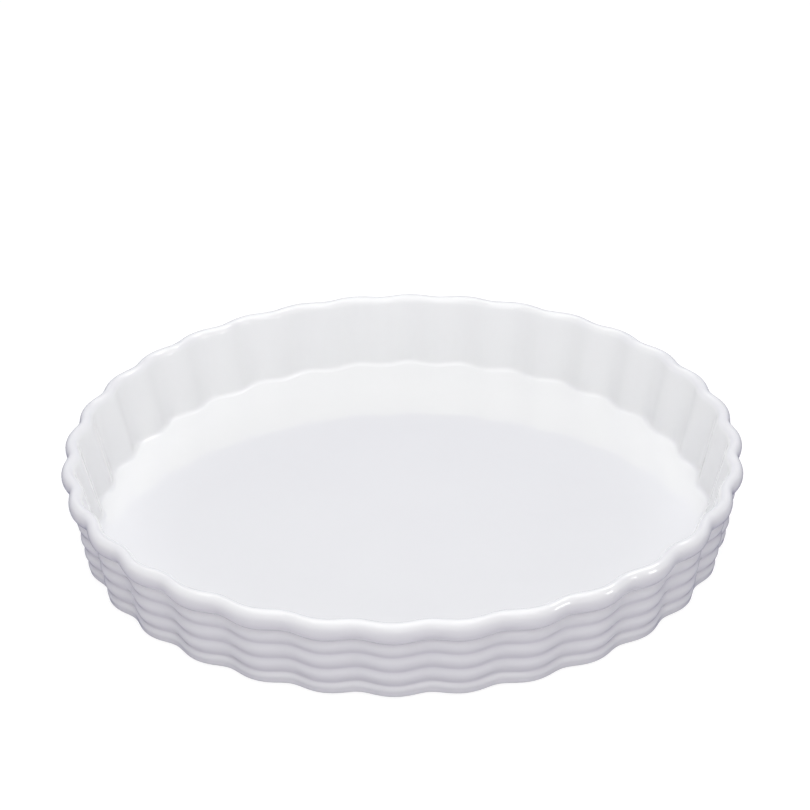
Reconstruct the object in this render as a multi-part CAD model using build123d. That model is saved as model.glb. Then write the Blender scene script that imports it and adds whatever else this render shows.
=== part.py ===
from build123d import *
from math import atan, cos, pi, radians, sin, tan
import os

# Fluted quiche dish: a shallow round baking dish in glazed porcelain, pressed and fired as one piece.
# Millimetres. The origin is the centre of the foot's flat face, +Z is up, and a flute crest lies on +X.

# Overall size
rim_diameter = 280.0  # over the crests of two opposite flutes
dish_height = 35.2  # foot to the top of the rim

# Flutes, one even wave around the whole dish, inside and out
flute_count = 32
rim_flute_depth = 2.15  # crest to valley along a radius, at the rolled rim
wall_flute_depth = 2.6  # the same on the ribbed wall
foot_flute_depth = 2.4  # the same at the foot

# Rolled rim: a round lip that runs down over a fuller band to the first groove
lip_thickness = 5.8
rim_band_height = 9.4
rim_overhang = 3.85  # lip outside the first groove

# Outer wall below the rim: level ribs with a sharp groove between each two
wall_draft = 7.2  # degrees from upright
rib_relief = 0.75  # rib crown above the groove line
rib_height_shares = (0.24, 0.265, 0.265, 0.23)  # of the ribbed wall, from the foot up
rib_lower_shoulder_share = 0.25  # of one rib, from its lower groove
rib_upper_shoulder_share = 0.65

# Inside
inner_draft = 11.4  # degrees from upright
floor_height = 3.7  # baking surface above the foot

# Foot: a narrow flat ring left bare of glaze, around a shallow recess
foot_ring_width = 5.5
recess_depth = 0.8

# How finely the round stretches of the rim are divided
lip_inner_steps = 2
lip_outer_steps = 2
rim_band_steps = 2

# How far a cut runs on past the dish
cut_overrun = 3.0


def around(radius, angle):
    """The point of the XY plane at a radius, turned by an angle in degrees from +X."""
    return Vector(radius, 0, 0).rotate(Axis.Z, angle)


def fluted_ring(height, radius, depth):
    """One level outline of the dish: a closed wave about a mean radius, with one crest to each flute."""
    crest_radius = radius + depth / 2
    valley_radius = radius - depth / 2
    pitch = 360 / flute_count
    level = Vector(0, 0, height)
    edges = []
    for flute in range(flute_count):
        start = flute * pitch
        middle = start + pitch / 2
        end = start + pitch
        points = [around(crest_radius, start), around(valley_radius, middle), around(crest_radius, end)]
        tangents = [around(1, start + 90), around(1, end + 90)]
        edges.append(Edge.make_spline([level + point for point in points], tangents))
    return Wire(edges)


def steps_between(first, last, steps):
    """The values from first to last in equal steps, without the first."""
    return [first + (last - first) * step / steps for step in range(1, steps + 1)]


# Lip section: a circle whose outermost point reaches the rim diameter at the flute crests
lip_radius = lip_thickness / 2
lip_mid_height = dish_height - lip_radius
lip_mid_radius = rim_diameter / 2 - rim_flute_depth / 2 - lip_radius


def lip_station(angle):
    """Height, mean radius and flute depth on the lip, at an angle in radians up from its outermost point."""
    height = lip_mid_height + lip_radius * sin(angle)
    radius = lip_mid_radius + lip_radius * cos(angle)
    return (height, radius, rim_flute_depth)


# Rim band: one arc from the lip's outermost point in to the first groove
first_groove_height = dish_height - rim_band_height
first_groove_radius = lip_mid_radius + lip_radius - rim_overhang
band_drop = lip_mid_height - first_groove_height
band_turn = 2 * atan(rim_overhang / band_drop)
band_radius = band_drop / sin(band_turn)


def band_station(angle):
    """Height, mean radius and flute depth on the rim band, at an angle in radians below the lip."""
    height = lip_mid_height - band_radius * sin(angle)
    radius = lip_mid_radius + lip_radius - band_radius * (1 - cos(angle))
    depth = rim_flute_depth + (wall_flute_depth - rim_flute_depth) * angle / band_turn
    return (height, radius, depth)


def wall_radius(height):
    """Mean radius of the groove line, which leans in towards the foot by the wall's draft."""
    return first_groove_radius - (first_groove_height - height) * tan(radians(wall_draft))


# Outer side from the foot up: ribs, rim band, then the outer half of the lip. The first rib swells straight
# from the foot, with no lower shoulder.
outer_stations = []
rib_foot = 0.0
for rib, height_share in enumerate(rib_height_shares):
    rib_height = height_share * first_groove_height
    lower_shoulder = rib_foot + rib_height * rib_lower_shoulder_share
    upper_shoulder = rib_foot + rib_height * rib_upper_shoulder_share
    groove_depth = foot_flute_depth if rib == 0 else wall_flute_depth
    outer_stations.append((rib_foot, wall_radius(rib_foot), groove_depth))
    shoulders = (upper_shoulder,) if rib == 0 else (lower_shoulder, upper_shoulder)
    for shoulder in shoulders:
        outer_stations.append((shoulder, wall_radius(shoulder) + rib_relief, wall_flute_depth))
    rib_foot += rib_height
outer_stations += [band_station(angle) for angle in [band_turn, *steps_between(band_turn, 0, rim_band_steps)]]
outer_stations += [lip_station(angle) for angle in steps_between(0, pi / 2, lip_outer_steps)]

# Inner side from the floor up: the inner wall meets the lip where the lip has the wall's own draft
lip_inner_turn = pi - radians(inner_draft)
wall_top = lip_station(lip_inner_turn)
floor_edge_radius = wall_top[1] - (wall_top[0] - floor_height) * tan(radians(inner_draft))
inner_stations = [(floor_height, floor_edge_radius, rim_flute_depth), wall_top]
inner_stations += [lip_station(angle) for angle in steps_between(lip_inner_turn, pi / 2, lip_inner_steps)]
inner_stations.append((dish_height + cut_overrun, lip_mid_radius, rim_flute_depth))

# The dish is the outer form less the inside, then less the recess within the foot ring
outer_form = Solid.make_loft([fluted_ring(*station) for station in outer_stations], ruled=True)
inside = Solid.make_loft([fluted_ring(*station) for station in inner_stations], ruled=True)
recess_radius = wall_radius(0) - foot_flute_depth / 2 - foot_ring_width
recess = Cylinder(recess_radius, recess_depth, align=(Align.CENTER, Align.CENTER, Align.MIN))
dish_body = outer_form - inside - recess
dish_body.label = "dish_body"

os.makedirs("parts", exist_ok=True)
export_step(dish_body, "parts/dish_body.step")
print("dish_body", round(dish_body.volume / 1000), "cm3, floor edge radius", round(floor_edge_radius, 1), "mm")
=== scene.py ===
"""A fluted quiche dish in white glazed porcelain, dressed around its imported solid.

The whole dish is one surface of revolution whose radius runs in a wave of flutes. A section of stations
goes from the middle of the underside out over the foot, up the ribbed wall, over the rolled rim, down the
inner wall and across the baking floor. Everything is in metres, in the frame of the solid.
"""

import logging
import math
from dataclasses import dataclass, field
from enum import Enum

import bpy
import numpy as np
from mathutils import Matrix, Vector


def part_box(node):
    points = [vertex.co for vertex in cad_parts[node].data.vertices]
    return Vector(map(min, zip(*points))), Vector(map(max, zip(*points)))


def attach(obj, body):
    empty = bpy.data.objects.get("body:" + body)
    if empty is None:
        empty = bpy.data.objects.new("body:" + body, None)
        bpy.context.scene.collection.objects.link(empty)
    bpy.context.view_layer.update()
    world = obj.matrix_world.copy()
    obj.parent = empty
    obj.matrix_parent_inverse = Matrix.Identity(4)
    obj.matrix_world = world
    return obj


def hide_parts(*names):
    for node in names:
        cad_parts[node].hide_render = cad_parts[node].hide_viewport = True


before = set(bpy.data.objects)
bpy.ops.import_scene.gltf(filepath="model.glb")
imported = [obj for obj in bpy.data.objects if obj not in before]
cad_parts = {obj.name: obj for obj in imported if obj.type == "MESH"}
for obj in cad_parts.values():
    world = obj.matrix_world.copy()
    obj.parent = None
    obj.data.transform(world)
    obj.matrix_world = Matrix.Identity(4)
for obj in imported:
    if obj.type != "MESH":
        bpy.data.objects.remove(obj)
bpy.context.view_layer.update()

log = logging.getLogger("quiche_dish")

MM = 0.001
LEAST_LENGTH = 1e-9
NODE = "dish_body"
BODY = "root"
TRACKS = ("height", "radius", "depth", "crest_flat", "side", "pool")


class Zone(Enum):
    """Which finish a band of the dish has. The value is its place among the piece's materials."""

    GLAZED = 0
    BARE = 1


def placed(name: str, data: bpy.types.ID) -> bpy.types.Object:
    """Makes an object and puts it in the scene.

    Args:
        name: the object's name.
        data: its mesh, lamp or camera.

    Returns:
        The object, at the origin.
    """
    thing = bpy.data.objects.new(name, data)
    bpy.context.scene.collection.objects.link(thing)
    return thing


def square(name: str, size: float, height: float) -> bpy.types.Mesh:
    """Makes a level square about the axis, its corners half a side out along x and y.

    Args:
        name: the mesh's name.
        size: the side.
        height: the height it lies at.

    Returns:
        The mesh, of one face that points up.
    """
    half = size / 2
    corners = [(-half, -half, height), (half, -half, height), (half, half, height), (-half, half, height)]
    mesh = bpy.data.meshes.new(name)
    mesh.from_pydata(corners, [], [(0, 1, 2, 3)])
    return mesh


def towards(elevation: float, bearing: float) -> Vector:
    """The direction from the dish to a thing at an elevation and a bearing.

    Args:
        elevation: degrees up from level.
        bearing: degrees from +x towards +y.

    Returns:
        The direction, of length 1.
    """
    up, turn = math.radians(elevation), math.radians(bearing)
    return Vector((math.cos(up) * math.cos(turn), math.cos(up) * math.sin(turn), math.sin(up)))


def emptied_tree(owner: bpy.types.ID) -> bpy.types.NodeTree:
    """Gives a material or a world an empty node tree.

    Args:
        owner: the material or world.

    Returns:
        The tree.
    """
    owner.use_nodes = True
    owner.node_tree.nodes.clear()
    return owner.node_tree


def object_noise(tree: bpy.types.NodeTree, scale: float, detail: float) -> bpy.types.NodeSocket:
    """Adds a noise on Object coordinates.

    Args:
        tree: the tree it goes into.
        scale: the noise's scale.
        detail: the noise's detail.

    Returns:
        The socket with its value.
    """
    place = tree.nodes.new("ShaderNodeTexCoord")
    noise = tree.nodes.new("ShaderNodeTexNoise")
    noise.inputs["Scale"].default_value = scale
    noise.inputs["Detail"].default_value = detail
    tree.links.new(place.outputs["Object"], noise.inputs["Vector"])
    return noise.outputs["Fac"]


def add_bump(
    tree: bpy.types.NodeTree, relief: bpy.types.NodeSocket, height: float, strength: float
) -> None:
    """Bumps the tree's own shader.

    Args:
        tree: the material's tree.
        relief: the socket that gives the bump, from 0 to 1.
        height: how high a relief of 1 stands.
        strength: how much of the bump counts.
    """
    bump = tree.nodes.new("ShaderNodeBump")
    bump.inputs["Strength"].default_value = strength
    bump.inputs["Distance"].default_value = height
    tree.links.new(relief, bump.inputs["Height"])
    tree.links.new(bump.outputs["Normal"], tree.nodes["Principled BSDF"].inputs["Normal"])


def mirrored_only(thing: bpy.types.Object) -> None:
    """Hides a thing of the studio from all rays but mirrored ones, and takes away its shadow.

    Args:
        thing: the thing to hide.
    """
    thing.visible_camera = False
    thing.visible_diffuse = False
    thing.visible_shadow = False
    thing.visible_transmission = False


@dataclass
class Stations:
    """A run of points along the dish's section, each with the wave that the flutes have there.

    Attributes:
        height: height above the foot.
        radius: mean radius of the wave.
        depth: half the flute depth, from the mean radius to a crest.
        crest_flat: share of the wave's second harmonic, negative where crests are fuller than valleys.
        side: distance out from the wave, square to it.
        pool: how much painted shade darkens the glaze, from 0 on a crown to 1 in a groove.
        zone: the finish of the band that ends at this station.
    """

    height: np.ndarray
    radius: np.ndarray
    depth: np.ndarray
    crest_flat: np.ndarray
    side: np.ndarray
    pool: np.ndarray
    zone: np.ndarray

    @staticmethod
    def run(count: int, zone: Zone, **values: object) -> "Stations":
        """Makes a run of stations from arrays or single values.

        Args:
            count: number of stations.
            zone: the finish of this run.
            **values: an array or one number for each attribute. Those left out are 0.

        Returns:
            The run.
        """
        given = {name: np.asarray(values.get(name, 0.0), float) for name in TRACKS}
        arrays = {name: np.broadcast_to(value, (count,)) for name, value in given.items()}
        return Stations(zone=np.full(count, zone.value), **arrays)

    @staticmethod
    def join(runs: list["Stations"]) -> "Stations":
        """Joins runs end to end.

        Args:
            runs: the runs in order.

        Returns:
            One run with all their stations.
        """
        names = (*TRACKS, "zone")
        return Stations(**{name: np.concatenate([getattr(run, name) for run in runs]) for name in names})


@dataclass(frozen=True)
class Level:
    """One measured level of the wall: its height and the wave that the flutes have there."""

    height: float
    radius: float
    depth: float
    crest_flat: float


@dataclass
class DishSection:
    """The dish's section, from the middle of the underside round to the middle of the floor.

    Attributes:
        rim_radius: out to the lip at a flute's crest.
        top: the height of the dish.
        lip_radius: half the lip's thickness.
        lip_drop: from the top down to the lip's outermost point.
        lip_depth, lip_crest_flat: the flutes' wave at the lip and the inner shoulder.
        lip_rows and the other rows: how many stations that run has.
        grooves: the foot and the grooves above it, from the foot up.
        rib_relief: how far a rib's crown stands out of its grooves.
        rib_fullness: the power of a rib's section, below 1 for a rib fuller than a sine.
        foot_rib_start: where the lowest rib starts, in foot corners.
        foot_rib_swell: the least swell of that rib's lower half, which runs nearly straight into the foot.
        rib_shade_power, band_shade_power: how closely the painted groove shade keeps to a groove.
        shoulder_radius, shoulder_start: the arc inside the lip, and where on the lip it begins.
        floor_height, floor_radius: the baking floor's height, and its mean radius with a sharp corner.
        floor_depth: the flutes' wave at the floor's edge.
        floor_shares: the rings of the floor, as shares of the radius inside the fillet.
        floor_fade_power: how soon the flutes fade out over the floor.
        foot_corner: radius of the foot's rounded corner.
        recess_depth, recess_radius: the hollow of the underside within the foot ring.
        disc_share, step_share: where the hollow's disc ends and its step begins, as shares of its radius.
        step_width: how wide the step is, in recess depths.
        ring_start, corner_start: where the foot's ring and corner begin, as shares of their run.
    """

    rim_radius: float
    top: float
    lip_radius: float = 2.7 * MM
    lip_drop: float = 3.8 * MM
    lip_depth: float = 1.06 * MM
    lip_crest_flat: float = -0.076
    lip_rows: int = 30
    grooves: tuple[Level, ...] = (
        Level(0.0, 131.82 * MM, 1.22 * MM, -0.07),
        Level(5.95 * MM, 132.78 * MM, 1.49 * MM, -0.07),
        Level(12.72 * MM, 133.80 * MM, 1.47 * MM, -0.06),
        Level(19.60 * MM, 134.69 * MM, 1.40 * MM, -0.035),
        Level(25.60 * MM, 135.09 * MM, 1.37 * MM, -0.037),
    )
    rib_relief: float = 1.0 * MM
    rib_fullness: float = 0.75
    rib_rows: int = 16
    rib_shade_power: int = 3
    foot_rib_start: float = 1.3
    foot_rib_swell: float = 0.95
    band_rows: int = 16
    band_shade_power: int = 4
    shoulder_radius: float = 4.6 * MM
    shoulder_start: float = math.radians(40)
    shoulder_rows: int = 14
    inner_rows: int = 14
    fillet_radius: float = 2.4 * MM
    fillet_rows: int = 8
    floor_height: float = 3.65 * MM
    floor_radius: float = 127.2 * MM
    floor_depth: float = 1.45 * MM
    floor_shares: tuple[float, ...] = (0.98, 0.93, 0.85, 0.65, 0.45, 0.25, 0.1, 0.0)
    floor_fade_power: int = 8
    foot_corner: float = 0.5 * MM
    foot_rows: int = 4
    ring_start: float = 0.15
    corner_start: float = 0.2
    recess_depth: float = 0.8 * MM
    recess_radius: float = 125.1 * MM
    disc_rows: int = 6
    disc_share: float = 0.985
    step_rows: int = 5
    step_share: float = 0.99
    step_width: float = 1.4
    lip_height: float = field(init=False)
    lip_mean: float = field(init=False)

    def __post_init__(self) -> None:
        """Places the middle of the lip, so that its crests reach the rim's radius and its top the height.

        The height is that of the inner arc's centre. The outer arc, which is taller, ends at the same top.
        """
        self.lip_height = self.top - self.lip_radius
        crest = self.lip_depth * (1 + self.lip_crest_flat)
        self.lip_mean = self.rim_radius - crest - self.lip_radius

    def underside(self) -> Stations:
        """The glazed hollow within the foot ring: a flat disc and half a cosine wave down to the ring.

        Returns:
            The stations from the axis outwards.
        """
        disc = Stations.run(
            self.disc_rows,
            Zone.GLAZED,
            height=self.recess_depth,
            radius=self.recess_radius * np.linspace(0.0, self.disc_share, self.disc_rows),
        )
        turn = np.linspace(0.0, 1.0, self.step_rows)
        step = Stations.run(
            self.step_rows,
            Zone.GLAZED,
            height=self.recess_depth * 0.5 * (1 + np.cos(math.pi * turn)),
            radius=self.recess_radius * self.step_share + self.recess_depth * self.step_width * turn,
            # painted shade in the inner corner of the hollow, fading out towards the foot ring
            pool=1 - turn,
        )
        return Stations.join([disc, step])

    def foot(self) -> Stations:
        """The flat bare ring, over which the flutes come in with the square of its share, and its corner.

        Returns:
            The stations from the recess out to the lowest rib.
        """
        base = self.grooves[0]
        flat = np.linspace(self.ring_start, 1.0, self.foot_rows)
        inner = self.recess_radius + self.foot_corner
        outer = base.radius - self.foot_corner
        ring = Stations.run(
            self.foot_rows,
            Zone.BARE,
            radius=inner + (outer - inner) * flat,
            depth=base.depth * flat**2,
            crest_flat=base.crest_flat,
        )
        turn = np.linspace(self.corner_start, 1.0, self.foot_rows) * math.pi / 2
        corner = Stations.run(
            self.foot_rows,
            Zone.BARE,
            height=self.foot_corner * (1 - np.cos(turn)),
            radius=outer,
            depth=base.depth,
            crest_flat=base.crest_flat,
            side=self.foot_corner * np.sin(turn),
        )
        return Stations.join([ring, corner])

    def ribs(self) -> Stations:
        """The level ribs of the outer wall, each standing out of a line between two soft grooves.

        With across running from 1 in a groove to 0 on the crown, a rib stands out by its relief times the
        squared sine of a quarter turn times (1 - across) to the power of its fullness.

        Returns:
            The stations from the foot up to the last groove.
        """
        runs = []
        for lower, upper in zip(self.grooves[:-1], self.grooves[1:]):
            lowest = lower.height == 0
            start = self.foot_corner * self.foot_rib_start if lowest else lower.height
            share = np.linspace(0.0, 1.0, self.rib_rows + 1)[1:]
            height = start + (upper.height - start) * share
            blend = (height - lower.height) / (upper.height - lower.height)
            across = np.abs(2 * share - 1)
            least_swell = self.foot_rib_swell if lowest else 0.0
            swell = np.sin(math.pi / 2 * (1 - across) ** self.rib_fullness) ** 2
            swell = np.where(share < 0.5, np.maximum(swell, least_swell), swell)
            runs.append(
                Stations.run(
                    self.rib_rows,
                    Zone.GLAZED,
                    height=height,
                    radius=lower.radius + (upper.radius - lower.radius) * blend,
                    depth=lower.depth + (upper.depth - lower.depth) * blend,
                    crest_flat=lower.crest_flat + (upper.crest_flat - lower.crest_flat) * blend,
                    side=self.rib_relief * swell,
                    # painted shade: darkest in the groove at each end of a rib, none on its crown
                    pool=across**self.rib_shade_power,
                )
            )
        return Stations.join(runs)

    def rim_band(self) -> Stations:
        """The full band under the lip: one arc from the last groove up to the lip's outermost point.

        The arc is upright at its upper end. It turns by twice the angle whose tangent is the overhang over
        the drop. The flutes' wave goes from the groove's to the lip's by a smooth step in height.

        Returns:
            The stations from the last groove up to the lip.
        """
        groove = self.grooves[-1]
        widest = self.top - self.lip_drop
        drop = widest - groove.height
        overhang = self.lip_mean + self.lip_radius - groove.radius
        turn = 2 * math.atan2(overhang, drop)
        arc_radius = drop / math.sin(turn)
        angle = turn * (1 - np.linspace(0.0, 1.0, self.band_rows + 1)[1:])
        height = widest - arc_radius * np.sin(angle)
        reach = self.lip_mean + self.lip_radius - arc_radius * (1 - np.cos(angle))
        blend = (height - groove.height) / drop
        blend = blend * blend * (3 - 2 * blend)
        mean = groove.radius + (self.lip_mean - groove.radius) * blend
        return Stations.run(
            self.band_rows,
            Zone.GLAZED,
            height=height,
            radius=mean,
            depth=groove.depth + (self.lip_depth - groove.depth) * blend,
            crest_flat=groove.crest_flat + (self.lip_crest_flat - groove.crest_flat) * blend,
            side=reach - mean,
            # painted shade: darkest where the band meets the last groove, none at the lip
            pool=(angle / turn) ** self.band_shade_power,
        )

    def lip(self) -> Stations:
        """The lip: a taller quarter of an ellipse outside, and a round arc inside down to the shoulder.

        Returns:
            The stations from the lip's outermost point, over its top, to the inner shoulder.
        """
        angle = np.linspace(0.0, math.pi - self.shoulder_start, self.lip_rows + 1)[1:]
        drop = np.where(angle < math.pi / 2, self.lip_drop, self.lip_radius)
        return Stations.run(
            self.lip_rows,
            Zone.GLAZED,
            height=self.top - drop * (1 - np.sin(angle)),
            radius=self.lip_mean,
            depth=self.lip_depth,
            crest_flat=self.lip_crest_flat,
            side=self.lip_radius * np.cos(angle),
        )

    def shoulder_centre(self) -> tuple[float, float]:
        """The centre of the inner shoulder, whose arc goes on smoothly where the lip's arc ends.

        Returns:
            Its side and its height.
        """
        beyond = self.shoulder_radius - self.lip_radius
        side = beyond * math.cos(self.shoulder_start)
        return side, self.lip_height - beyond * math.sin(self.shoulder_start)

    def inner_draft(self) -> float:
        """The lean of the inner wall: the line from the floor's edge that touches the shoulder.

        Returns:
            The angle from upright.
        """
        side, height = self.shoulder_centre()
        across = self.lip_mean + side - self.floor_radius
        up = height - self.floor_height
        return math.acos(self.shoulder_radius / math.hypot(across, up)) - math.atan2(up, across)

    def shoulder(self) -> Stations:
        """The inner shoulder: an arc wider than the lip's, from the lip down to the inner wall.

        Returns:
            The stations from the lip downwards.
        """
        side, height = self.shoulder_centre()
        lean = np.linspace(self.shoulder_start, self.inner_draft(), self.shoulder_rows + 1)[1:]
        return Stations.run(
            self.shoulder_rows,
            Zone.GLAZED,
            height=height + self.shoulder_radius * np.sin(lean),
            radius=self.lip_mean,
            depth=self.lip_depth,
            crest_flat=self.lip_crest_flat,
            side=side - self.shoulder_radius * np.cos(lean),
        )

    def wall_foot(self) -> tuple[float, float]:
        """Where the inner wall ends and the fillet begins.

        Returns:
            The height and the mean radius.
        """
        draft = self.inner_draft()
        height = self.floor_height + self.fillet_radius * (1 - math.sin(draft))
        return height, self.floor_radius + (height - self.floor_height) * math.tan(draft)

    def inner_wall(self) -> Stations:
        """The inner wall, straight in section: each value goes evenly from the shoulder to the fillet.

        Returns:
            The stations from the shoulder downwards.
        """
        draft = self.inner_draft()
        side, height = self.shoulder_centre()
        top_side = side - self.shoulder_radius * math.cos(draft)
        top_height = height + self.shoulder_radius * math.sin(draft)
        foot_height, foot_radius = self.wall_foot()
        share = np.linspace(0.0, 1.0, self.inner_rows + 1)[1:]
        return Stations.run(
            self.inner_rows,
            Zone.GLAZED,
            height=top_height + (foot_height - top_height) * share,
            radius=self.lip_mean + (foot_radius - self.lip_mean) * share,
            depth=self.lip_depth + (self.floor_depth - self.lip_depth) * share,
            crest_flat=self.lip_crest_flat * (1 - share),
            side=top_side * (1 - share),
        )

    def fillet(self) -> Stations:
        """The small fillet of glaze between wall and floor, a circle touching both.

        Returns:
            The stations from the wall down to the floor.
        """
        draft = self.inner_draft()
        angle = np.linspace(draft, math.pi / 2, self.fillet_rows + 1)[1:]
        return Stations.run(
            self.fillet_rows,
            Zone.GLAZED,
            height=self.floor_height + self.fillet_radius * (1 - np.sin(angle)),
            radius=self.wall_foot()[1],
            depth=self.floor_depth,
            side=self.fillet_radius * (np.cos(angle) - math.cos(draft)),
        )

    def floor(self) -> Stations:
        """The flat baking floor, where the flutes fade with a high power of the share of its radius.

        Returns:
            The stations from the fillet in to the axis.
        """
        share = np.array(self.floor_shares)
        edge = self.floor_radius - self.fillet_radius
        return Stations.run(
            len(share),
            Zone.GLAZED,
            height=self.floor_height,
            radius=edge * share,
            depth=self.floor_depth * share**self.floor_fade_power,
        )

    def stations(self) -> Stations:
        """The whole section in order."""
        return Stations.join(
            [
                self.underside(),
                self.foot(),
                self.ribs(),
                self.rim_band(),
                self.lip(),
                self.shoulder(),
                self.inner_wall(),
                self.fillet(),
                self.floor(),
            ]
        )


@dataclass(frozen=True)
class GlazedPorcelain:
    """White porcelain under a clear glossy glaze, with a darker, faintly violet painted shade in the
    grooves.
    """

    body: tuple[float, float, float] = (0.862, 0.868, 0.869)
    # darker, faintly violet colour: painted shade in grooves and corners, also mixed in a little by the
    # cloud
    cloud_and_shade_colour: tuple[float, float, float] = (0.72, 0.715, 0.74)
    groove_shade_share: float = 0.85
    cloud_share: float = 0.15
    cloud_scale: float = 22.0
    cloud_detail: float = 3.0
    roughness: float = 0.07
    roughness_spread: float = 0.05
    ior: float = 1.5
    ripple_scale: float = 140.0
    ripple_detail: float = 1.0
    ripple_height: float = 0.03 * MM

    def material(self) -> bpy.types.Material:
        """Builds the finish.

        The share of the darker colour is the painted groove shade that the mesh carries, times
        groove_shade_share, plus the cloud of random tone times cloud_share.

        Returns:
            A material with a soft cloud of tone, painted shade in the grooves, and a faint ripple.
        """
        made = bpy.data.materials.new("glazed_porcelain")
        made.use_nodes = True
        tree = made.node_tree
        nodes, links = tree.nodes, tree.links
        shader = nodes["Principled BSDF"]
        shader.inputs["IOR"].default_value = self.ior
        cloud = object_noise(tree, self.cloud_scale, self.cloud_detail)

        # painted shade: the mesh's groove shade, with the random cloud, mixes in the darker colour
        pool = nodes.new("ShaderNodeAttribute")
        pool.attribute_name = "pool"
        clouded = nodes.new("ShaderNodeMath")
        clouded.operation = "MULTIPLY"
        clouded.inputs[1].default_value = self.cloud_share
        links.new(cloud, clouded.inputs[0])
        cloud_and_shade_share = nodes.new("ShaderNodeMath")
        cloud_and_shade_share.operation = "MULTIPLY_ADD"
        cloud_and_shade_share.inputs[1].default_value = self.groove_shade_share
        links.new(pool.outputs["Fac"], cloud_and_shade_share.inputs[0])
        links.new(clouded.outputs["Value"], cloud_and_shade_share.inputs[2])
        colour = nodes.new("ShaderNodeMix")
        colour.data_type = "RGBA"
        colour.inputs["A"].default_value = (*self.body, 1.0)
        colour.inputs["B"].default_value = (*self.cloud_and_shade_colour, 1.0)
        links.new(cloud_and_shade_share.outputs["Value"], colour.inputs["Factor"])
        links.new(colour.outputs["Result"], shader.inputs["Base Color"])

        rough = nodes.new("ShaderNodeMath")
        rough.operation = "MULTIPLY_ADD"
        rough.inputs[1].default_value = self.roughness_spread
        rough.inputs[2].default_value = self.roughness - self.roughness_spread / 2
        links.new(cloud, rough.inputs[0])
        links.new(rough.outputs["Value"], shader.inputs["Roughness"])

        ripple = object_noise(tree, self.ripple_scale, self.ripple_detail)
        add_bump(tree, ripple, self.ripple_height, 1.0)
        return made


@dataclass(frozen=True)
class BareBiscuit:
    """The unglazed ring that the dish was fired on: matt, warm white and finely grained."""

    pale: tuple[float, float, float] = (0.74, 0.70, 0.63)
    pale_from: float = 0.6
    dark: tuple[float, float, float] = (0.60, 0.55, 0.47)
    dark_to: float = 0.35
    roughness: float = 0.85
    grain_scale: float = 1400.0
    grain_detail: float = 4.0
    grain_height: float = 0.08 * MM
    grain_strength: float = 0.6

    def material(self) -> bpy.types.Material:
        """Builds the finish.

        Returns:
            A rough material with a fine grain in colour and bump.
        """
        made = bpy.data.materials.new("bare_biscuit")
        made.use_nodes = True
        tree = made.node_tree
        shader = tree.nodes["Principled BSDF"]
        shader.inputs["Roughness"].default_value = self.roughness
        grain = object_noise(tree, self.grain_scale, self.grain_detail)
        ramp = tree.nodes.new("ShaderNodeValToRGB")
        ramp.color_ramp.elements[0].position = self.dark_to
        ramp.color_ramp.elements[0].color = (*self.dark, 1.0)
        ramp.color_ramp.elements[1].position = self.pale_from
        ramp.color_ramp.elements[1].color = (*self.pale, 1.0)
        tree.links.new(grain, ramp.inputs["Fac"])
        tree.links.new(ramp.outputs["Color"], shader.inputs["Base Color"])
        add_bump(tree, grain, self.grain_height, self.grain_strength)
        return made


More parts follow.
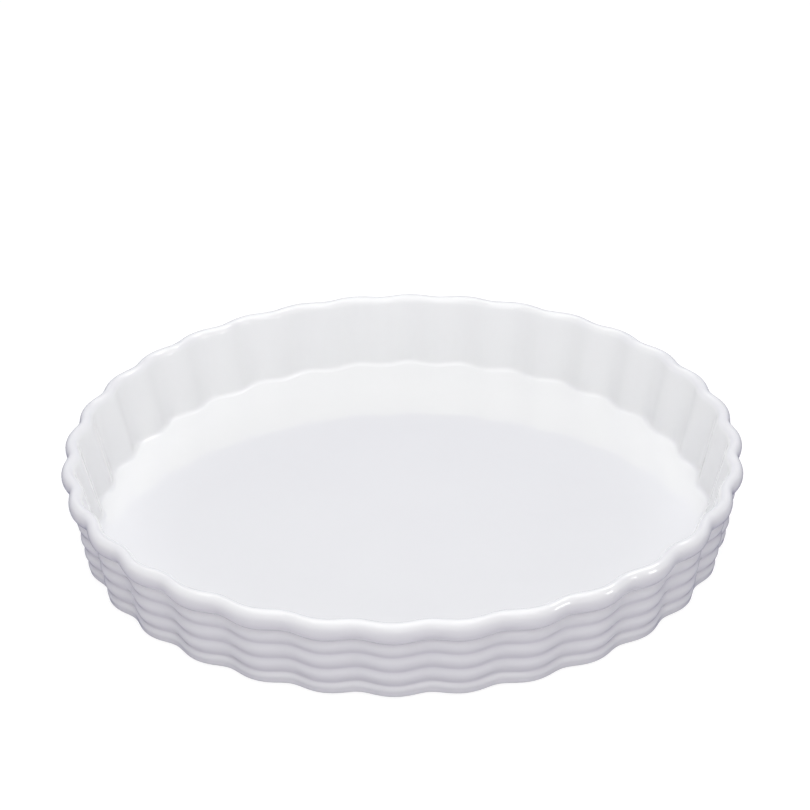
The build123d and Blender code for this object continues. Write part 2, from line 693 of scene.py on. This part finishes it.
@dataclass
class FlutedDish:
    """The dish itself: its section carried round the axis in a wave of flutes."""

    section: DishSection
    flute_count: int = 32
    columns_per_flute: int = 16
    glaze: GlazedPorcelain = field(default_factory=GlazedPorcelain)
    biscuit: BareBiscuit = field(default_factory=BareBiscuit)

    def points(self, stations: Stations) -> np.ndarray:
        """Places every station at every angle.

        The wave is radius + depth * (cos(a) + crest_flat * cos(2a)), where a is the angle times the flute
        count. Each point then stands off the wave by the station's side, square to the wave in plan.

        Args:
            stations: the section.

        Returns:
            An array of points, stations by columns by 3.
        """
        columns = self.flute_count * self.columns_per_flute
        angle = np.linspace(0.0, 2 * math.pi, columns, endpoint=False)[None, :]
        phase = angle * self.flute_count
        depth = stations.depth[:, None]
        flat = stations.crest_flat[:, None]
        wave = stations.radius[:, None] + depth * (np.cos(phase) + flat * np.cos(2 * phase))
        slope = -depth * self.flute_count * (np.sin(phase) + 2 * flat * np.sin(2 * phase))
        length = np.maximum(np.hypot(wave, slope), LEAST_LENGTH)
        outward = stations.side[:, None] * wave / length
        along = -stations.side[:, None] * slope / length
        x = (wave + outward) * np.cos(angle) - along * np.sin(angle)
        y = (wave + outward) * np.sin(angle) + along * np.cos(angle)
        z = np.broadcast_to(stations.height[:, None], x.shape)
        return np.stack([x, y, z], axis=-1)

    def build(self) -> bpy.types.Object:
        """Makes the dish's mesh as one closed grid with a pole under the base and one on the floor.

        Returns:
            The dish as a Blender object, with its finishes.
        """
        stations = self.section.stations()
        grid = self.points(stations)
        rows, columns = grid.shape[0], grid.shape[1]
        ring_points = grid[1:-1].reshape(-1, 3)
        rings = rows - 2
        points = np.vstack([grid[0, :1], ring_points, grid[-1, :1]])
        top_pole = len(points) - 1

        column = np.arange(columns)
        after = (column + 1) % columns
        ring = 1 + np.arange(rings - 1)[:, None] * columns
        beyond = ring + columns
        quads = np.stack([ring + column, ring + after, beyond + after, beyond + column], axis=-1)
        quads = quads.reshape(-1, 4)
        first = np.stack([np.zeros(columns, int), 1 + after, 1 + column], axis=-1)
        last_ring = 1 + (rings - 1) * columns
        last = np.stack([last_ring + column, last_ring + after, np.full(columns, top_pole)], axis=-1)

        mesh = bpy.data.meshes.new(f"{NODE}_glazed")
        mesh.vertices.add(len(points))
        mesh.vertices.foreach_set("co", points.astype(np.float32).ravel())
        corners = np.concatenate([first.ravel(), quads.ravel(), last.ravel()])
        sizes = np.concatenate([np.full(columns, 3), np.full(len(quads), 4), np.full(columns, 3)])
        starts = np.concatenate([[0], np.cumsum(sizes)[:-1]])
        mesh.loops.add(len(corners))
        mesh.loops.foreach_set("vertex_index", corners.astype(np.int32))
        mesh.polygons.add(len(sizes))
        mesh.polygons.foreach_set("loop_start", starts.astype(np.int32))
        mesh.polygons.foreach_set("loop_total", sizes.astype(np.int32))
        zones = stations.zone[2:-1]
        band_zone = np.concatenate([[Zone.GLAZED.value], zones, [Zone.GLAZED.value]])
        mesh.polygons.foreach_set("material_index", np.repeat(band_zone, columns).astype(np.int32))
        mesh.polygons.foreach_set("use_smooth", np.ones(len(sizes), bool))
        mesh.update(calc_edges=True)
        mesh.validate()

        # painted shade: each point carries how much groove shade is painted on it, none at the two poles
        pool = mesh.attributes.new("pool", "FLOAT", "POINT")
        ring_groove_shade = np.repeat(stations.pool[1:-1], columns)
        pool.data.foreach_set("value", np.concatenate([[0.0], ring_groove_shade, [0.0]]).astype(np.float32))

        dish = placed(f"{NODE}_glazed", mesh)
        mesh.materials.append(self.glaze.material())
        mesh.materials.append(self.biscuit.material())
        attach(dish, BODY)
        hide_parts(NODE)
        return dish


@dataclass(frozen=True)
class Softbox:
    """One square lamp: where it stands as seen from the dish, in degrees, its side and its power."""

    name: str
    elevation: float
    bearing: float
    distance: float
    size: float
    power: float

    def build(self) -> bpy.types.Object:
        """Adds the lamp, facing the dish.

        Returns:
            The lamp.
        """
        data = bpy.data.lights.new(self.name, "AREA")
        data.shape = "SQUARE"
        data.size = self.size
        data.energy = self.power
        lamp = placed(self.name, data)
        out = towards(self.elevation, self.bearing)
        lamp.location = out * self.distance
        lamp.rotation_euler = (-out).to_track_quat("-Z", "Y").to_euler()
        return lamp


@dataclass(frozen=True)
class GlintCard:
    """A small bright card that only mirrored rays meet, placed as a softbox is, with its side and glow."""

    name: str
    elevation: float
    bearing: float
    distance: float
    size: float
    glow: float

    def build(self) -> bpy.types.Object:
        """Adds the card, facing the dish.

        Returns:
            The card.
        """
        mesh = square(self.name, self.size, 0.0)
        card = placed(self.name, mesh)
        out = towards(self.elevation, self.bearing)
        card.location = out * self.distance
        card.rotation_euler = (-out).to_track_quat("Z", "Y").to_euler()
        made = bpy.data.materials.new(self.name)
        tree = emptied_tree(made)
        output = tree.nodes.new("ShaderNodeOutputMaterial")
        light = tree.nodes.new("ShaderNodeEmission")
        light.inputs["Strength"].default_value = self.glow
        tree.links.new(light.outputs["Emission"], output.inputs["Surface"])
        mesh.materials.append(made)
        mirrored_only(card)
        return card


@dataclass
class Studio:
    """A pale floor, soft lamps, a grey surround and glint cards for the glaze to mirror, and the camera.

    Attributes:
        floor_size, floor_drop: the floor's side, and how far it lies under the foot.
        floor_albedo: the floor's colour as it lights the dish.
        floor_glow, floor_faint: where the floor is seen, its own white and the grey that takes a shadow.
        horizon_level, horizon_tint: the sky's strength and colour below its upper edge.
        horizon_top, horizon_blur: the sine of that edge's elevation, and half the run over which it fades.
        surround_tint: the colour of the apron and screen.
        table_level, surround_level: their strength on the floor, and from table_height upwards.
        apron_inner, screen_radius: the apron's two edges, the outer of them where the screen stands.
        screen_swell, screen_height: how far the screen goes out, and how high it rises.
        aim, distance: the point the camera looks at, and how far it stands from it.
        elevation, turn, roll: the degrees it is raised, turned from -y towards +x, and rolled.
    """

    floor_size: float = 6.0
    floor_drop: float = 0.2 * MM
    floor_albedo: tuple[float, float, float] = (0.605, 0.58, 0.64)
    floor_glow: float = 0.88
    floor_faint: tuple[float, float, float] = (0.2, 0.2, 0.2)
    horizon_level: float = 0.83
    horizon_top: float = 0.5
    horizon_blur: float = 0.15
    horizon_tint: tuple[float, float, float] = (1.005, 0.99, 1.035)
    surround_tint: tuple[float, float, float] = (1.0, 0.99, 1.8)
    surround_level: float = 0.32
    table_level: float = 0.15
    table_height: float = 0.1
    apron_inner: float = 0.1
    screen_radius: float = 0.6
    screen_swell: float = 0.4
    screen_height: float = 1.15
    screen_rows: int = 12
    surround_columns: int = 65
    softboxes: tuple[Softbox, ...] = (
        Softbox("overhead", 70.0, -90.0, 1.2, 1.3, 10.5),
        Softbox("front", 22.0, -90.0, 1.2, 0.8, 0.9),
        Softbox("back", 64.0, 90.0, 1.2, 1.2, 5.6),
        Softbox("right", 40.0, 0.0, 1.2, 0.8, 0.4),
    )
    glints: tuple[GlintCard, ...] = (
        GlintCard("high_glint", 56.0, 30.0, 1.3, 0.26, 12.0),
        GlintCard("low_glint", 17.0, -26.0, 0.64, 0.12, 10.0),
    )
    aim: tuple[float, float, float] = (-1.64 * MM, 92.44 * MM, 0.0)
    distance: float = 0.9394
    elevation: float = 28.17
    turn: float = 1.893
    roll: float = -1.044
    lens: float = 90.4
    sensor_width: float = 36.0

    def floor(self) -> bpy.types.Object:
        """The pale floor, near white where it is seen or mirrored, with a soft shadow of the dish.

        Returns:
            The floor.
        """
        mesh = square("studio_floor", self.floor_size, -self.floor_drop)
        floor = placed("studio_floor", mesh)
        made = bpy.data.materials.new("studio_floor")
        tree = emptied_tree(made)
        nodes, links = tree.nodes, tree.links
        output = nodes.new("ShaderNodeOutputMaterial")
        matt = nodes.new("ShaderNodeBsdfDiffuse")
        matt.inputs["Color"].default_value = (*self.floor_albedo, 1.0)
        faint = nodes.new("ShaderNodeBsdfDiffuse")
        faint.inputs["Color"].default_value = (*self.floor_faint, 1.0)
        glow = nodes.new("ShaderNodeEmission")
        glow.inputs["Strength"].default_value = self.floor_glow
        seen = nodes.new("ShaderNodeAddShader")
        links.new(faint.outputs["BSDF"], seen.inputs[0])
        links.new(glow.outputs["Emission"], seen.inputs[1])
        choose = nodes.new("ShaderNodeMixShader")
        links.new(self.seen_share(tree), choose.inputs["Fac"])
        links.new(matt.outputs["BSDF"], choose.inputs[1])
        links.new(seen.outputs["Shader"], choose.inputs[2])
        links.new(choose.outputs["Shader"], output.inputs["Surface"])
        mesh.materials.append(made)
        return floor

    def surround(self) -> bpy.types.Object:
        """A grey apron and screen that only mirrored rays meet, so that the glaze has something to show.

        The apron is a flat ring on the floor. The screen behind the dish is half of a bowl: its radius
        grows and its height rises in a quarter turn of an ellipse, from the floor to well above the
        mirrored view.

        Returns:
            The surround.
        """
        columns = self.surround_columns
        turn = np.linspace(0.0, 2 * math.pi, columns)[None, :]
        half = np.linspace(0.0, math.pi, columns)[None, :]
        rise = np.linspace(0.0, math.pi / 2, self.screen_rows)[:, None]
        apron_radius = np.array([[self.apron_inner], [self.screen_radius]])
        apron_height = np.full((2, columns), -self.floor_drop / 2)
        apron = np.stack([apron_radius * np.cos(turn), apron_radius * np.sin(turn), apron_height], axis=-1)
        radius = self.screen_radius + self.screen_swell * np.sin(rise)
        height = np.broadcast_to(self.screen_height * (1 - np.cos(rise)), (self.screen_rows, columns))
        screen = np.stack([radius * np.cos(half), radius * np.sin(half), height], axis=-1)
        points = np.concatenate([apron, screen])
        column = np.arange(columns - 1)
        row = np.concatenate([[0], np.arange(2, len(points) - 1)])[:, None] * columns
        above = row + columns
        quads = np.stack([row + column, row + column + 1, above + column + 1, above + column], axis=-1)
        mesh = bpy.data.meshes.new("grey_surround")
        mesh.from_pydata(points.reshape(-1, 3).tolist(), [], quads.reshape(-1, 4).tolist())
        surround = placed("grey_surround", mesh)

        made = bpy.data.materials.new("grey_surround")
        tree = emptied_tree(made)
        nodes, links = tree.nodes, tree.links
        output = nodes.new("ShaderNodeOutputMaterial")
        place = nodes.new("ShaderNodeTexCoord")
        split = nodes.new("ShaderNodeSeparateXYZ")
        links.new(place.outputs["Object"], split.inputs["Vector"])
        level = nodes.new("ShaderNodeMapRange")
        level.inputs["From Max"].default_value = self.table_height
        level.inputs["To Min"].default_value = self.table_level
        level.inputs["To Max"].default_value = self.surround_level
        links.new(split.outputs["Z"], level.inputs["Value"])
        grey = nodes.new("ShaderNodeEmission")
        grey.inputs["Color"].default_value = (*self.surround_tint, 1.0)
        links.new(level.outputs["Result"], grey.inputs["Strength"])
        links.new(grey.outputs["Emission"], output.inputs["Surface"])
        mesh.materials.append(made)
        mirrored_only(surround)
        return surround

    def seen_share(self, tree: bpy.types.NodeTree) -> bpy.types.NodeSocket:
        """Adds nodes that give 1 where the camera sees a thing directly, mirrored or through glass.

        Args:
            tree: the tree they go into.

        Returns:
            The socket with the share.
        """
        rays = tree.nodes.new("ShaderNodeLightPath")
        direct = tree.nodes.new("ShaderNodeMath")
        direct.operation = "MAXIMUM"
        tree.links.new(rays.outputs["Is Camera Ray"], direct.inputs[0])
        tree.links.new(rays.outputs["Is Glossy Ray"], direct.inputs[1])
        either = tree.nodes.new("ShaderNodeMath")
        either.operation = "MAXIMUM"
        tree.links.new(direct.outputs["Value"], either.inputs[0])
        tree.links.new(rays.outputs["Is Transmission Ray"], either.inputs[1])
        return either.outputs["Value"]

    def world(self) -> bpy.types.World:
        """A soft sky, bright at the horizon and dark above, that is white where it is seen or mirrored.

        Returns:
            The world.
        """
        world = bpy.data.worlds.new("studio")
        bpy.context.scene.world = world
        tree = emptied_tree(world)
        nodes, links = tree.nodes, tree.links
        output = nodes.new("ShaderNodeOutputWorld")
        place = nodes.new("ShaderNodeTexCoord")
        split = nodes.new("ShaderNodeSeparateXYZ")
        links.new(place.outputs["Generated"], split.inputs["Vector"])
        level = nodes.new("ShaderNodeMapRange")
        level.inputs["From Min"].default_value = self.horizon_top - self.horizon_blur
        level.inputs["From Max"].default_value = self.horizon_top + self.horizon_blur
        level.inputs["To Min"].default_value = self.horizon_level
        level.inputs["To Max"].default_value = 0.0
        links.new(split.outputs["Z"], level.inputs["Value"])
        sky = nodes.new("ShaderNodeBackground")
        sky.inputs["Color"].default_value = (*self.horizon_tint, 1.0)
        links.new(level.outputs["Result"], sky.inputs["Strength"])
        white = nodes.new("ShaderNodeBackground")
        white.inputs["Color"].default_value = (1.0, 1.0, 1.0, 1.0)
        white.inputs["Strength"].default_value = 1.0
        choose = nodes.new("ShaderNodeMixShader")
        links.new(self.seen_share(tree), choose.inputs["Fac"])
        links.new(sky.outputs["Background"], choose.inputs[1])
        links.new(white.outputs["Background"], choose.inputs[2])
        links.new(choose.outputs["Shader"], output.inputs["Surface"])
        return world

    def camera(self) -> bpy.types.Object:
        """Sets the camera at the photograph's viewing angle.

        Returns:
            The camera, aimed at a point just behind the dish's middle.
        """
        back = towards(self.elevation, self.turn - 90.0)
        right = towards(0.0, self.turn)
        up = back.cross(right)
        roll = math.radians(self.roll)
        tilted_right = right * math.cos(roll) + up * math.sin(roll)
        tilted_up = up * math.cos(roll) - right * math.sin(roll)
        eye = Vector(self.aim) + back * self.distance
        data = bpy.data.cameras.new("camera")
        data.lens = self.lens
        data.sensor_width = self.sensor_width
        data.sensor_fit = "HORIZONTAL"
        camera = placed("camera", data)
        turned = Matrix((tilted_right, tilted_up, back)).transposed().to_4x4()
        camera.matrix_world = Matrix.Translation(eye) @ turned
        bpy.context.scene.camera = camera
        return camera

    def build(self) -> None:
        """Sets up the floor, the surround, the sky, the lamps, the cards and the camera."""
        self.floor()
        self.surround()
        self.world()
        for softbox in self.softboxes:
            softbox.build()
        for glint in self.glints:
            glint.build()
        self.camera()
        bpy.context.scene.view_settings.view_transform = "Standard"


def main() -> None:
    """Builds the dish and the studio, and reports each piece."""
    logging.basicConfig(level=logging.INFO, format="%(name)s: %(message)s")
    low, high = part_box(NODE)
    section = DishSection(rim_radius=float(high[0]), top=float(high[2]))
    dish = FlutedDish(section).build()
    log.info("%s: %d faces", dish.name, len(dish.data.polygons))
    Studio().build()
    log.info("studio: floor, surround, lamps, cards and camera")


if __name__ == "__main__":
    main()
